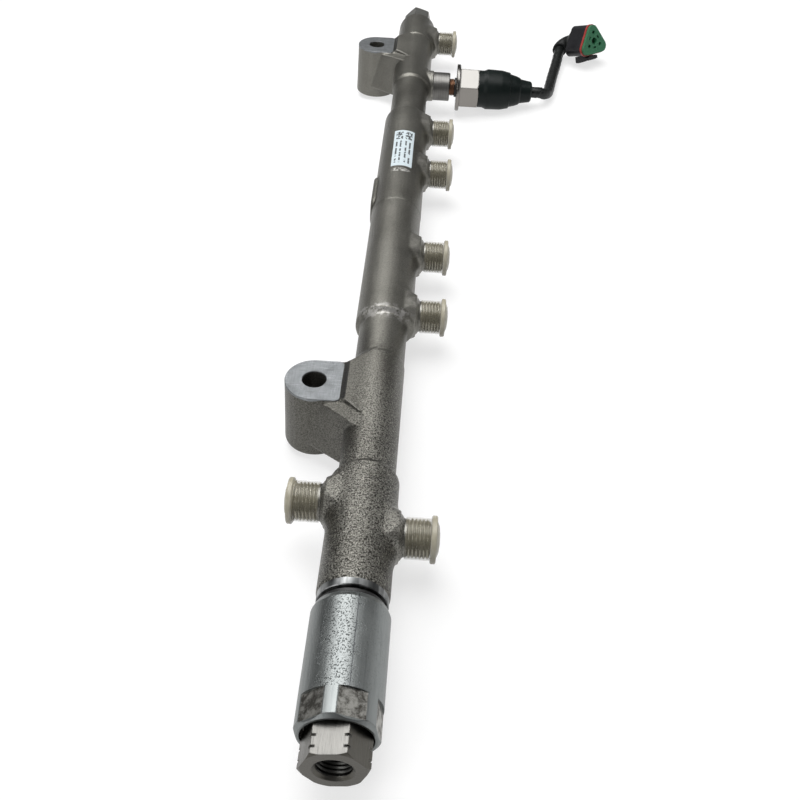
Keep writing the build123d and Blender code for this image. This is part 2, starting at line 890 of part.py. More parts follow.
def connector_wedge():
    """Wedge lock: face plate with holes and slots, and a key that fills the housing's mouth."""
    plate = Pos(0, 0, housing_end) * extrude(trefoil(wedge_inset), wedge_plate)
    key = Pos(0, 0, housing_end - wedge_key_length) * extrude(trefoil(housing_wall), wedge_key_length)
    body = plate + key
    bottom = housing_end - wedge_key_length - past
    top = housing_end + wedge_plate + past
    for x, y in pin_places():
        body -= Pos(x, y, 0) * rod(pin_hole_d / 2, bottom, top)
    body -= rod(wedge_centre_d / 2, housing_end - wedge_key_length + wedge_centre_floor, top)
    for angle in (60, 180, 300):
        slot = Pos(0, slot_circle_r, housing_end) * Box(slot_length, slot_width, 2 * slot_depth)
        body -= Rot(0, 0, angle) * slot
    return plug_frame * body


def connector_sockets():
    """Three tubular contacts inside the housing."""
    start = housing_end - wedge_key_length - socket_length
    tube = rod(pin_hole_d / 2, start, start + socket_length)
    tube -= rod(pin_hole_d / 2 - socket_wall, start + socket_floor, start + socket_length + past)
    return plug_frame * Compound(children=[Pos(x, y, 0) * tube for x, y in pin_places()])


def rail_label():
    """White sticker wrapped on the far middle section."""
    span = degrees(label_width / far_middle_r)
    strip = Polyline(
        (far_middle_r, 0),
        (far_middle_r + label_thickness, 0),
        (far_middle_r + label_thickness, label_length),
        (far_middle_r, label_length),
        close=True,
    )
    sheet = revolve(Plane.XZ * make_face(strip), Axis.Z, span)
    start = label_turn - 90 - span / 2
    return on_rail(near_end_y + label_from_end) * Rot(0, 0, start) * sheet


def main():
    save("rail_body", rail_body())
    for number, y in enumerate(reversed(outlet_ys), start=1):
        save(f"outlet_cap_{number}", on_port(y) * cap(outlet_reach))
    save("inlet_cap", on_port(inlet_y, -1) * cap(inlet_reach))
    save("end_plug", on_rail(far_end_y) * end_plug())
    save("end_plug_seal", on_rail(far_end_y) * end_plug_seal())
    valve = towards_valve(near_end_y)
    save("relief_valve_holder", valve * relief_valve_holder())
    save("holder_o_ring", valve * ring(ring_neck_r, holder_ring_section, holder_gap / 2))
    save("outlet_fitting", valve * outlet_fitting())
    outlet_ring_middle = fitting_seat + fitting_ring_section
    save("outlet_o_ring", valve * ring(fitting_stem_d / 2, fitting_ring_section, outlet_ring_middle))
    save("valve_seat", valve * valve_seat())
    save("valve_poppet", valve * valve_poppet())
    save("valve_spring", valve * valve_spring())
    save("spring_seat", valve * spring_seat())
    sensor = on_port(sensor_y)
    save("sensor_body", sensor * sensor_body())
    save("sensor_cell", sensor * sensor_cell())
    save("sensor_washer", sensor * sensor_washer())
    save("sensor_boot", sensor * sensor_boot())
    save("pigtail_cable", pigtail_cable())
    save("connector_sleeve", connector_sleeve())
    save("connector_housing", connector_housing())
    save("connector_seal", connector_seal())
    save("connector_wedge", connector_wedge())
    save("connector_sockets", connector_sockets())
    save("connector_grommet", connector_grommet())
    save("rail_label", rail_label())


main()
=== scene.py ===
import json
import math

import bmesh
import bpy
import numpy
from mathutils import Matrix, Vector, noise


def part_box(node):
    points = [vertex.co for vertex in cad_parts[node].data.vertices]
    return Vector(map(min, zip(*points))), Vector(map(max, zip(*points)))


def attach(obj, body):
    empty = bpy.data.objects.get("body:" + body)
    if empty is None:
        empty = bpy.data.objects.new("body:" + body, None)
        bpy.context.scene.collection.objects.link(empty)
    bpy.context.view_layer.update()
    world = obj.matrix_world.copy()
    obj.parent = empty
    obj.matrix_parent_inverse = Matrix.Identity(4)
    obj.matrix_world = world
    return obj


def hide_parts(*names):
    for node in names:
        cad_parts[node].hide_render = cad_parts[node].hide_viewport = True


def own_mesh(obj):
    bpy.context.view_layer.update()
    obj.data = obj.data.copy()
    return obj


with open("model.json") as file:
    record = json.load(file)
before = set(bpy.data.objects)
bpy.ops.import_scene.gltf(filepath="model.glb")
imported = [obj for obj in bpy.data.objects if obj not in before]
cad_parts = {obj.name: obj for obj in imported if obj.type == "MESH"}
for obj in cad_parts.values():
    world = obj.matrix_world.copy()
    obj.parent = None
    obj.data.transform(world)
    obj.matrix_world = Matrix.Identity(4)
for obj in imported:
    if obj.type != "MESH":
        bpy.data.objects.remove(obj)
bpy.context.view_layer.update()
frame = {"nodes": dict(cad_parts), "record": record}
nodes_of = frame["nodes"]

# Metres, in the part's own frame: +Y along the rail to the end plug, +X to the outlets, +Z up the bolts
MM = 0.001
rail_low, rail_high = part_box("rail_body")
holder_low, holder_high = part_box("relief_valve_holder")
boot_low, boot_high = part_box("sensor_boot")
label_low, label_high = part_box("rail_label")
axis_x = (holder_low.x + holder_high.x) / 2
axis_z = (holder_low.z + holder_high.z) / 2
near_end_y = rail_low.y
far_end_y = rail_high.y
return_end_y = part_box("outlet_fitting")[0].y
sensor_y = (boot_low.y + boot_high.y) / 2
label_x = (label_low.x + label_high.x) / 2
outlet_caps = [f"outlet_cap_{number}" for number in range(1, 7)]
ports = []
for cap_name in outlet_caps + ["inlet_cap"]:
    cap_low, cap_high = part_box(cap_name)
    ports.append(((cap_low.y + cap_high.y) / 2, 1 if cap_low.x > axis_x else -1))
bolts = frame["record"]["mounts"][0]["dims"]
bolt_ys = [-bolts["spacing_y_mm"] / 2 * MM, bolts["spacing_y_mm"] / 2 * MM]
bolt_hole_r = bolts["hole_r_mm"] * MM

# Milled pads on the lugs
lug_r = 13.5 * MM
pad_z = 35.0 * MM
pad_end_x = 12.8 * MM
pad_corner_r = 2.4 * MM
pad_thickness = 1.4 * MM
pad_edge = 0.25 * MM

# Turned ring at the valve end
ring_r = 13.75 * MM
ring_length = 3.4 * MM
ring_wall = 3.0 * MM
ring_edge = 0.3 * MM

# Ports, with distances out from the rail's axis
thread_pitch = 1.5 * MM
thread_wall = 1.0 * MM
port_crest_r = 7.98 * MM
port_root_r = 7.15 * MM
port_collar_r = 7.75 * MM
port_collar_start = 16.6 * MM
port_thread_start = 18.6 * MM
port_thread_end = 27.9 * MM
cap_flange_start = 28.1 * MM
cap_flange_full = 28.7 * MM

# Hollow ramps that the dies leave round the ports
ramp_start_r = 9.3 * MM
ramp_run = 8.5 * MM
ramp_rise = 1.9 * MM
ramp_limit = 15.9 * MM
skin_r = 11.0 * MM

# Fillings of the forging's hidden bores, a little wider than the bores
main_bore_r = 5.7 * MM
valve_bore_r = 10.5 * MM
valve_bore_depth = 22.5 * MM
plug_bore_r = 8.5 * MM
plug_bore_depth = 15.5 * MM
sensor_bore_r = 6.4 * MM
sensor_bore_end = 26.6 * MM
port_bore_r = 2.2 * MM
port_bore_end = 23.5 * MM

# Sensor boss and the thread in its mouth, with distances out from the rail's axis
boss_r = 9.65 * MM
boss_bore_r = 6.1 * MM
boss_start = 15.0 * MM
boss_end = 27.6 * MM
boss_edge = 0.5 * MM
neck_r = 6.2 * MM
neck_thread_end = 31.0 * MM
neck_root_r = 5.46 * MM
neck_crest_r = 5.95 * MM
neck_pitch = 1.0 * MM

# Return thread inside the outlet fitting
return_thread_depth = 11.5 * MM
return_lead_in = 1.3 * MM
return_root_r = 6.19 * MM
return_crest_r = 5.65 * MM

# Holder: end of its flats, end of its chamfer and the least radius of its round faces
flats_end_y = holder_low.y + 11.4 * MM
chamfer_end_y = holder_low.y + 1.2 * MM
barrel_r = 14.9 * MM

# Crease between the valve end and the near lug, darkened with painted shade
near_step_y = near_end_y + 63.3 * MM
# Edge of the middle section next to the near lug, given a lighter band on its top
band_step_y = near_end_y + 166.3 * MM

# The surface that the rail lies on: under the lugs' feet and the plug's latch
foot_edge_x = 13.6 * MM
floor_slope = math.radians(7.43)
floor_half_size = 6.0


def clean_mesh(name, verts, faces, smooth=True):
    mesh = bpy.data.meshes.new(name)
    mesh.from_pydata([tuple(v) for v in verts], [], faces)
    mesh.validate()
    mesh.update()
    if smooth:
        mesh.polygons.foreach_set("use_smooth", [True] * len(mesh.polygons))
    piece = bpy.data.objects.new(name, mesh)
    bpy.context.scene.collection.objects.link(piece)
    return piece


def on_rail(piece, material):
    """Gives a piece its material and slot, and lets it ride the rail."""
    piece.data.materials.clear()
    piece.data.materials.append(material)
    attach(piece, "rail")


def along_rail(side=1):
    """Frame on the rail axis whose local Z points to the end plug, or with side -1 to the valve."""
    return Matrix.Translation((axis_x, 0, axis_z)) @ Matrix.Rotation(math.radians(-90 * side), 4, "X")


def out_of_port(y, side=1):
    """Frame on the rail axis whose local Z points out of a port."""
    return Matrix.Translation((axis_x, y, axis_z)) @ Matrix.Rotation(math.radians(90 * side), 4, "Y")


def lathe(name, profile, place):
    """Closed ring turned about the local Z of place from (radius, height) points."""
    steps = 96
    verts = []
    faces = []
    count = len(profile)
    for step in range(steps):
        turn = 2 * math.pi * step / steps
        for radius, height in profile:
            verts.append(place @ Vector((radius * math.cos(turn), radius * math.sin(turn), height)))
    for step in range(steps):
        after = (step + 1) % steps
        for i in range(count):
            j = (i + 1) % count
            faces.append((step * count + i, after * count + i, after * count + j, step * count + j))
    piece = clean_mesh(name, verts, faces)
    soften(piece, 30)
    return piece


def soften(piece, sharp_degrees):
    """Smooth shading that keeps the edges that are sharper than an angle."""
    limit = math.radians(sharp_degrees)
    mesh = bmesh.new()
    mesh.from_mesh(piece.data)
    bmesh.ops.recalc_face_normals(mesh, faces=mesh.faces)
    for edge in mesh.edges:
        edge.smooth = len(edge.link_faces) != 2 or edge.calc_face_angle(0) < limit
    mesh.to_mesh(piece.data)
    mesh.free()


def helical_thread(name, place, start, end, root_r, crest_r, pitch):
    """Screw thread about the local Z of place: V flanks and small flats, faded out at both ends."""
    steps = 72
    fade_steps = 0.6 * steps
    total = int((end - start) / pitch * steps)
    flank = [(0.0, 0.0), (0.38, 1.0), (0.5, 1.0), (0.88, 0.0)]
    verts = []
    faces = []
    for step in range(total + 1):
        turn = 2 * math.pi * step / steps
        height = start + pitch * (step / steps - 0.5)
        fade = min(1.0, step / fade_steps, (total - step) / fade_steps)
        for along, rise in flank:
            radius = root_r + (crest_r - root_r) * rise * fade
            z = min(max(height + along * pitch, start), end)
            verts.append(place @ Vector((radius * math.cos(turn), radius * math.sin(turn), z)))
    count = len(flank)
    for step in range(total):
        for i in range(count - 1):
            a = step * count + i
            faces.append((a, a + count, a + count + 1, a + 1))
    return clean_mesh(name, verts, faces)


class Graph:
    """Short calls that build one material's nodes round its principled shader."""

    def __init__(self, name):
        self.material = bpy.data.materials.new(name)
        self.material.use_nodes = True
        self.tree = self.material.node_tree
        self.shader = self.tree.nodes["Principled BSDF"]
        self.place = self.node("ShaderNodeTexCoord").outputs["Object"]

    def node(self, kind, **settings):
        made = self.tree.nodes.new(kind)
        for key, value in settings.items():
            setattr(made, key, value)
        return made

    def put(self, socket, value):
        if isinstance(value, bpy.types.NodeSocket):
            self.tree.links.new(value, socket)
        else:
            socket.default_value = value

    def set(self, **values):
        """Sets or links inputs of the principled shader, named with underscores."""
        for key, value in values.items():
            self.put(self.shader.inputs[key.replace("_", " ")], value)
        return self.material

    def math(self, operation, a, b=0.0, clamp=False):
        made = self.node("ShaderNodeMath", operation=operation, use_clamp=clamp)
        self.put(made.inputs[0], a)
        self.put(made.inputs[1], b)
        return made.outputs[0]

    def plus(self, a, b):
        return self.math("ADD", a, b)

    def minus(self, a, b):
        return self.math("SUBTRACT", a, b)

    def times(self, a, b):
        return self.math("MULTIPLY", a, b)

    def above(self, value, level):
        return self.math("GREATER_THAN", value, level)

    def below(self, value, level):
        return self.math("LESS_THAN", value, level)

    def absolute(self, value):
        return self.math("ABSOLUTE", value)

    def apart(self, a, b):
        """Distance between two values."""
        return self.absolute(self.minus(a, b))

    def length(self, a, b):
        """Length of the line whose two sides are given."""
        return self.math("SQRT", self.plus(self.times(a, a), self.times(b, b)))

    def ramp(self, value, low, high, out_low=0.0, out_high=1.0):
        """Smooth step from one level to another between two values."""
        made = self.node("ShaderNodeMapRange", interpolation_type="SMOOTHSTEP")
        for socket, given in zip(made.inputs, (value, low, high, out_low, out_high)):
            self.put(socket, given)
        return made.outputs[0]

    def noise(self, scale, detail=2.0, roughness=0.5, vector=None):
        made = self.node("ShaderNodeTexNoise")
        self.put(made.inputs["Vector"], vector or self.place)
        self.put(made.inputs["Scale"], scale)
        self.put(made.inputs["Detail"], detail)
        self.put(made.inputs["Roughness"], roughness)
        return made.outputs[0]

    def stretched(self, factors):
        """Places with a scale of its own along each axis."""
        made = self.node("ShaderNodeMapping")
        self.put(made.inputs["Vector"], self.place)
        made.inputs["Scale"].default_value = factors
        return made.outputs[0]

    def axes(self):
        made = self.node("ShaderNodeSeparateXYZ")
        self.put(made.inputs[0], self.place)
        return made.outputs

    def mix(self, factor, a, b):
        made = self.node("ShaderNodeMix", data_type="RGBA")
        self.put(made.inputs["Factor"], factor)
        for socket, colour in ((made.inputs[6], a), (made.inputs[7], b)):
            self.put(socket, colour + (1,) if isinstance(colour, tuple) else colour)
        return made.outputs[2]

    def bump(self, height, distance, strength=1.0, soft_edge=0.0):
        made = self.node("ShaderNodeBump")
        self.put(made.inputs["Height"], height)
        self.put(made.inputs["Strength"], strength)
        self.put(made.inputs["Distance"], distance)
        if soft_edge:
            edge = self.node("ShaderNodeBevel", samples=4)
            edge.inputs["Radius"].default_value = soft_edge
            self.put(made.inputs["Normal"], edge.outputs[0])
        self.put(self.shader.inputs["Normal"], made.outputs[0])

    def facing(self):
        """Parts of the way a face looks, along each axis."""
        made = self.node("ShaderNodeSeparateXYZ")
        self.put(made.inputs[0], self.node("ShaderNodeNewGeometry").outputs["Normal"])
        return made.outputs

    def upward(self, low, high):
        """0 on faces that look sideways or down, 1 on faces that look up."""
        return self.ramp(self.facing()[2], low, high)

    def off_axis(self):
        """Distance from the rail's axis."""
        x, _, z = self.axes()
        return self.length(self.minus(x, axis_x), self.minus(z, axis_z))


def forged_steel():
    """Dark phosphated forging: stains, shot-blast speckle, lighter edges that are worn and carry a
    painted highlight, and painted shade on the tube's sides and in its creases.
    """
    g = Graph("forged_steel")
    x, y, z = g.axes()
    off = g.off_axis()
    stain = g.noise(26, 4, 0.6)
    base = g.mix(g.ramp(stain, 0.3, 0.7), (0.128, 0.124, 0.108), (0.200, 0.195, 0.173))

    # The far end is lighter, the tube's sides are darkened with painted shade, and the outlets' flares
    # are lighter with wear and a painted sheen
    base = g.mix(g.ramp(y, 0.10, 0.20, 0.0, 0.25), base, (0.30, 0.293, 0.262))
    side = g.ramp(g.absolute(g.facing()[0]), 0.25, 0.95)
    side = g.times(side, g.ramp(off, 14.5 * MM, 15.8 * MM, 1.0, 0.12))
    side = g.times(side, g.ramp(y, -0.22, -0.16, 1.0, 0.45))
    base = g.mix(side, base, (0.085, 0.082, 0.070))
    flare_wear_and_sheen = g.times(g.ramp(off, 14.6 * MM, 15.6 * MM), g.above(x, axis_x))
    flare_wear_and_sheen = g.times(flare_wear_and_sheen, g.ramp(g.noise(300, 3, 0.6), 0.3, 0.7, 0.2, 0.95))
    base = g.mix(flare_wear_and_sheen, base, (0.30, 0.292, 0.265))

    # Light and dark speckle, strongest at the valve end
    near = g.times(g.ramp(y, -0.14, -0.24, 0.22, 1.0), g.ramp(off, 14.6 * MM, 16.5 * MM, 1.0, 0.75))
    grain = g.noise(1800, 2, 0.6)
    pits = g.ramp(g.noise(1500, 2, 0.55), 0.50, 0.57)
    base = g.mix(g.times(g.ramp(grain, 0.50, 0.60), g.times(near, 0.7)), base, (0.40, 0.39, 0.35))
    base = g.mix(g.times(pits, g.times(near, 0.95)), base, (0.025, 0.023, 0.020))

    # Lighter noisy band on the top at the middle section's edge
    on_top = g.ramp(z, axis_z + 4 * MM, axis_z + 11 * MM)
    at_step = g.ramp(g.apart(y, band_step_y), 1.5 * MM, 6.0 * MM, 1, 0)
    step_band = g.times(at_step, g.ramp(g.noise(420, 3, 0.65), 0.42, 0.60))
    base = g.mix(g.times(g.times(step_band, on_top), 0.8), base, (0.50, 0.49, 0.47))

    # Lugs, the near one darker, with painted shade in the cove beside each pad; sharp edges are brighter
    # with wear and a painted highlight
    from_bolt = g.apart(g.absolute(y), bolt_ys[1])
    lug = g.times(g.ramp(x, axis_x - 2 * MM, axis_x - 8 * MM), g.ramp(from_bolt, 36 * MM, 46 * MM, 1, 0))
    lug = g.times(lug, g.ramp(y, -0.1, 0.1, 0.45, 0.05))
    base = g.mix(lug, base, (0.035, 0.033, 0.028))
    edge = g.ramp(g.node("ShaderNodeNewGeometry").outputs["Pointiness"], 0.515, 0.56, 0, 0.5)
    base = g.mix(edge, base, (0.40, 0.39, 0.36))
    beside_pad = g.ramp(g.apart(x, pad_end_x + 1.2 * MM), 0.8 * MM, 1.6 * MM, 1, 0)
    cove = g.times(beside_pad, g.ramp(from_bolt, 11.8 * MM, 13 * MM, 1, 0))
    cove = g.times(cove, g.above(z, pad_z - 1 * MM))
    base = g.mix(g.times(cove, 0.8), base, (0.03, 0.03, 0.03))

    # Painted shade in the creases and along the crease at the near step
    crease = g.node("ShaderNodeAmbientOcclusion", samples=8, only_local=True)
    crease.inputs["Distance"].default_value = 2.5 * MM
    crease_shade = g.ramp(crease.outputs["AO"], 0.45, 0.9, 0.7, 0.0)
    step_crease_shade = g.ramp(g.apart(y, near_step_y), 0.3 * MM, 1.3 * MM, 0.75, 0.0)
    base = g.mix(g.math("MAXIMUM", crease_shade, step_crease_shade), base, (0.022, 0.020, 0.017))

    # Bright patch on the top beside the label's near end
    label_patch_x = g.times(g.minus(x, label_x), 1 / (6.2 * MM))
    label_patch_y = g.times(g.minus(y, label_low.y - 4.4 * MM), 1 / (2.2 * MM))
    label_patch = g.plus(g.times(label_patch_x, label_patch_x), g.times(label_patch_y, label_patch_y))
    label_patch = g.times(g.ramp(label_patch, 0.4, 1.1, 1, 0), g.ramp(g.noise(500, 2), 0.38, 0.55))
    base = g.mix(g.times(label_patch, on_top), base, (0.80, 0.79, 0.75))

    g.bump(g.plus(g.times(grain, near), g.times(g.noise(2600, 2, 0.6), 0.35)), 0.0005, 0.6)
    return g.set(Base_Color=base, Metallic=0.8, Roughness=g.ramp(stain, 0.25, 0.75, 0.34, 0.46))


def milled_steel():
    """Milled pads: grey-blue with fine straight cutter marks."""
    g = Graph("milled_steel")
    lines = g.noise(1.0, 3, 0.6, g.stretched((2200, 200, 300)))
    cross = g.noise(1.0, 2, 0.6, g.stretched((180, 1500, 300)))
    cloud = g.noise(150, 3, 0.55)
    base = g.mix(lines, (0.16, 0.17, 0.177), (0.29, 0.302, 0.31))
    base = g.mix(g.ramp(cross, 0.55, 0.7, 0, 0.5), base, (0.35, 0.362, 0.37))
    base = g.mix(g.ramp(cloud, 0.5, 0.75, 0, 0.5), base, (0.13, 0.137, 0.14))
    g.bump(g.plus(lines, cross), 0.00025, 0.6)
    return g.set(Base_Color=base, Metallic=0.85, Roughness=g.ramp(cloud, 0.2, 0.8, 0.42, 0.58))


def turned_steel(name, dark, light, roughness, scale=(300, 300, 300), spread=0.5):
    """Bright turned or rolled steel with fine rings and faint stains."""
    g = Graph(name)
    rings = g.noise(1.0, 2, 0.5, g.stretched(scale))
    cloud = g.noise(90, 3, 0.55)
    base = g.mix(g.ramp(rings, 0.5 - spread, 0.5 + spread), dark, light)
    base = g.mix(g.ramp(cloud, 0.52, 0.8, 0, 0.4), base, tuple(c * 0.55 for c in dark))
    g.bump(rings, 0.00008, 0.4)
    rough = g.ramp(cloud, 0.2, 0.8, roughness, roughness + 0.12)
    return g.set(Base_Color=base, Metallic=1.0, Roughness=rough)


def thread_steel():
    """Rolled thread: bright crests, painted shade on its flanks and roots, and a painted dark reflection
    in a band along one side.
    """
    g = Graph("thread_steel")
    nx, ny, nz = g.facing()
    wear = g.noise(300, 3, 0.6)
    base = g.mix(wear, (0.36, 0.345, 0.295), (0.54, 0.52, 0.45))
    # Painted dark reflection in a band along one side
    lean = g.math("ARCTAN2", nz, g.times(ny, -1.0))
    dark_reflection_band = g.ramp(g.apart(lean, 0.55), 0.18, 0.32, 0.9, 0.0)
    base = g.mix(dark_reflection_band, base, (0.045, 0.050, 0.048))
    # Painted shade on the flanks
    flank = g.ramp(g.absolute(nx), 0.35, 0.8, 0.0, 0.9)
    base = g.mix(flank, base, (0.13, 0.125, 0.107))
    return g.set(Base_Color=base, Metallic=1.0, Roughness=g.ramp(wear, 0.2, 0.8, 0.24, 0.34))


def collar_steel():
    """Machined collar of a port; the core between the turns of its thread is darkened with painted shade.
    """
    g = Graph("collar_steel")
    reach = g.apart(g.axes()[0], axis_x)
    wear = g.noise(300, 3, 0.6)
    base = g.mix(wear, (0.15, 0.148, 0.137), (0.27, 0.265, 0.245))
    # Painted shade on the core between the thread's turns
    base = g.mix(g.above(reach, port_thread_start), base, (0.13, 0.125, 0.108))
    return g.set(Base_Color=base, Metallic=1.0, Roughness=g.ramp(wear, 0.2, 0.8, 0.28, 0.38))


def plated_steel():
    """Zinc-plated holder: smooth barrel with pits, duller mottled flats and a scribed line."""
    g = Graph("plated_steel")
    x, y, z = g.axes()
    on_flat = g.times(g.below(y, flats_end_y), g.below(g.off_axis(), barrel_r))
    on_flat = g.times(on_flat, g.above(y, chamfer_end_y))
    wear = g.noise(60, 4, 0.6)
    streak = g.noise(1.0, 3, 0.6, g.stretched((900, 45, 900)))
    pits = g.ramp(g.noise(1500, 2, 0.6), 0.55, 0.62)
    patches = g.ramp(g.noise(150, 2, 0.5), 0.32, 0.54)
    belt = g.apart(x, axis_x - 2.5 * MM)
    specks = g.times(g.times(pits, patches), g.ramp(belt, 3 * MM, 9 * MM, 1, 0.2))
    specks = g.times(specks, g.above(y, flats_end_y))
    barrel = g.mix(wear, (0.205, 0.219, 0.218), (0.295, 0.310, 0.306))
    barrel = g.mix(g.ramp(streak, 0.45, 0.75, 0, 0.45), barrel, (0.15, 0.163, 0.166))
    # Painted shade on the barrel's faces that look sideways or down
    barrel = g.mix(g.upward(-0.3, 0.75), (0.150, 0.160, 0.158), barrel)
    mottle = g.noise(330, 4, 0.7)
    flat = g.mix(g.ramp(mottle, 0.36, 0.64), (0.080, 0.076, 0.067), (0.37, 0.365, 0.34))
    base = g.mix(on_flat, barrel, flat)
    base = g.mix(g.times(specks, 0.85), base, (0.05, 0.054, 0.055))
    line_x = g.apart(x, axis_x + 3.1 * MM)
    on_top = g.above(z, axis_z + 14.2 * MM)
    scribe = g.times(g.below(line_x, 0.16 * MM), on_top)
    base = g.mix(g.times(scribe, 0.7), base, (0.08, 0.085, 0.09))
    height = g.minus(g.times(mottle, on_flat), g.times(specks, 1.2))
    g.bump(g.minus(height, scribe), 0.00018, 0.6, 0.4 * MM)
    rough = g.plus(g.ramp(wear, 0.25, 0.75, 0.37, 0.45), g.times(on_flat, 0.10))
    return g.set(Base_Color=base, Metallic=1.0, Roughness=rough)


def fitting_steel():
    """Plated hex fitting, lightly scratched along its flats."""
    g = Graph("fitting_steel")
    scratch = g.noise(1.0, 3, 0.6, g.stretched((1500, 120, 1500)))
    wear = g.noise(130, 3, 0.6)
    base = g.mix(wear, (0.145, 0.142, 0.134), (0.205, 0.201, 0.19))
    # Faces that don't look up get a darker copy of the plating: painted shade
    base = g.mix(g.upward(0.6, 0.95), g.mix(wear, (0.065, 0.061, 0.052), (0.125, 0.119, 0.105)), base)
    base = g.mix(g.ramp(scratch, 0.50, 0.72, 0, 0.5), base, (0.09, 0.088, 0.083))
    g.bump(scratch, 0.00016, 0.5, 0.5 * MM)
    return g.set(Base_Color=base, Metallic=1.0, Roughness=g.ramp(wear, 0.2, 0.8, 0.28, 0.42))


def nickel_steel():
    """Nickel-plated sensor hex; the neck under its flange is copper-brown."""
    g = Graph("nickel_steel")
    _, y, z = g.axes()
    neck = g.below(g.length(g.minus(y, sensor_y), g.minus(z, axis_z)), neck_r)
    wear = g.noise(140, 3, 0.6)
    base = g.mix(wear, (0.165, 0.160, 0.151), (0.220, 0.214, 0.204))
    # Painted highlight on the faces that look up
    base = g.mix(g.upward(0.2, 0.9), (0.235, 0.222, 0.206), base)
    base = g.mix(neck, base, (0.23, 0.12, 0.07))
    g.bump(g.noise(600, 2), 0.00004, 0.3, 1.2 * MM)
    return g.set(Base_Color=base, Metallic=1.0, Roughness=g.ramp(wear, 0.2, 0.8, 0.14, 0.26))


def copper_thread():
    """Copper-brown thread of the sensor's neck."""
    g = Graph("copper_thread")
    wear = g.noise(400, 3, 0.6)
    base = g.mix(wear, (0.12, 0.06, 0.04), (0.42, 0.24, 0.15))
    return g.set(Base_Color=base, Metallic=0.8, Roughness=g.ramp(wear, 0.2, 0.8, 0.35, 0.5))


def cap_plastic():
    """Thin polyethylene: clear enough on the sleeve to show the thread, milky at the flange."""
    g = Graph("cap_plastic")
    flange = g.ramp(g.apart(g.axes()[0], axis_x), cap_flange_start, cap_flange_full)
    cloud = g.noise(220, 3, 0.6)
    base = g.mix(cloud, (0.40, 0.365, 0.26), (0.56, 0.52, 0.40))
    density = g.plus(g.ramp(cloud, 0.25, 0.75, 0.14, 0.22), g.times(flange, 0.60))
    g.bump(g.noise(500, 2), 0.0001, 0.3)
    return g.set(Base_Color=base, Roughness=0.25, Alpha=density, IOR=1.5)


def moulded(name, dark, light, roughness, gloss=0.5):
    """Moulded plastic or rubber with a fine grain and slight variation."""
    g = Graph(name)
    cloud = g.noise(110, 3, 0.55)
    fine = g.noise(1500, 2, 0.5)
    g.bump(g.plus(fine, g.times(cloud, 0.8)), 0.00008, 0.5, 0.35 * MM)
    rough = g.ramp(cloud, 0.2, 0.8, roughness - 0.06, roughness + 0.08)
    return g.set(Base_Color=g.mix(cloud, dark, light), Roughness=rough, Specular_IOR_Level=gloss)


def cable_tape():
    """Wound cloth tape."""
    g = Graph("cable_tape")
    weave = g.noise(1600, 2, 0.6)
    cloud = g.noise(150, 3, 0.6)
    base = g.mix(cloud, (0.003, 0.004, 0.004), (0.009, 0.011, 0.010))
    g.bump(g.plus(weave, cloud), 0.00025, 0.5)
    return g.set(Base_Color=base, Roughness=g.ramp(cloud, 0.2, 0.8, 0.36, 0.5), Specular_IOR_Level=0.4)


def label_film():
    """Bluish white film with plain printed blocks and dashes, none of them lettering."""
    g = Graph("label_film")
    x, y, _ = g.axes()
    along = g.math("DIVIDE", g.minus(y, label_low.y), label_high.y - label_low.y)
    across = g.math("DIVIDE", g.minus(x, label_low.x), label_high.x - label_low.x)

    def band(value, start, end):
        return g.times(g.above(value, start), g.below(value, end))

    blocks = g.above(g.noise(1.0, 0, 0.5, g.stretched((900, 480, 0))), 0.46)
    squares = g.plus(band(across, 0.10, 0.44), band(across, 0.56, 0.90))
    print_top = g.times(g.times(band(along, 0.74, 0.95), squares), blocks)
    dash = g.above(g.noise(1.0, 0, 0.5, g.stretched((260, 420, 0))), 0.44)
    lines = g.times(band(along, 0.08, 0.70), dash)
    rows = band(across, 0.12, 0.20)
    for start in (0.32, 0.58, 0.78):
        rows = g.plus(rows, band(across, start, start + 0.08))
    ink = g.math("ADD", print_top, g.times(lines, rows), clamp=True)
    paper = g.mix(g.noise(200, 3), (0.60, 0.69, 0.73), (0.70, 0.78, 0.81))
    base = g.mix(g.times(ink, 0.92), paper, (0.03, 0.034, 0.038))
    return g.set(Base_Color=base, Roughness=0.45)


ring_steel = turned_steel(
    "turned_steel", (0.07, 0.073, 0.073), (0.40, 0.41, 0.41), 0.34, (260, 60, 260), 0.2
)
boss_steel = turned_steel("boss_steel", (0.13, 0.127, 0.12), (0.22, 0.215, 0.205), 0.36, (2600, 60, 60))
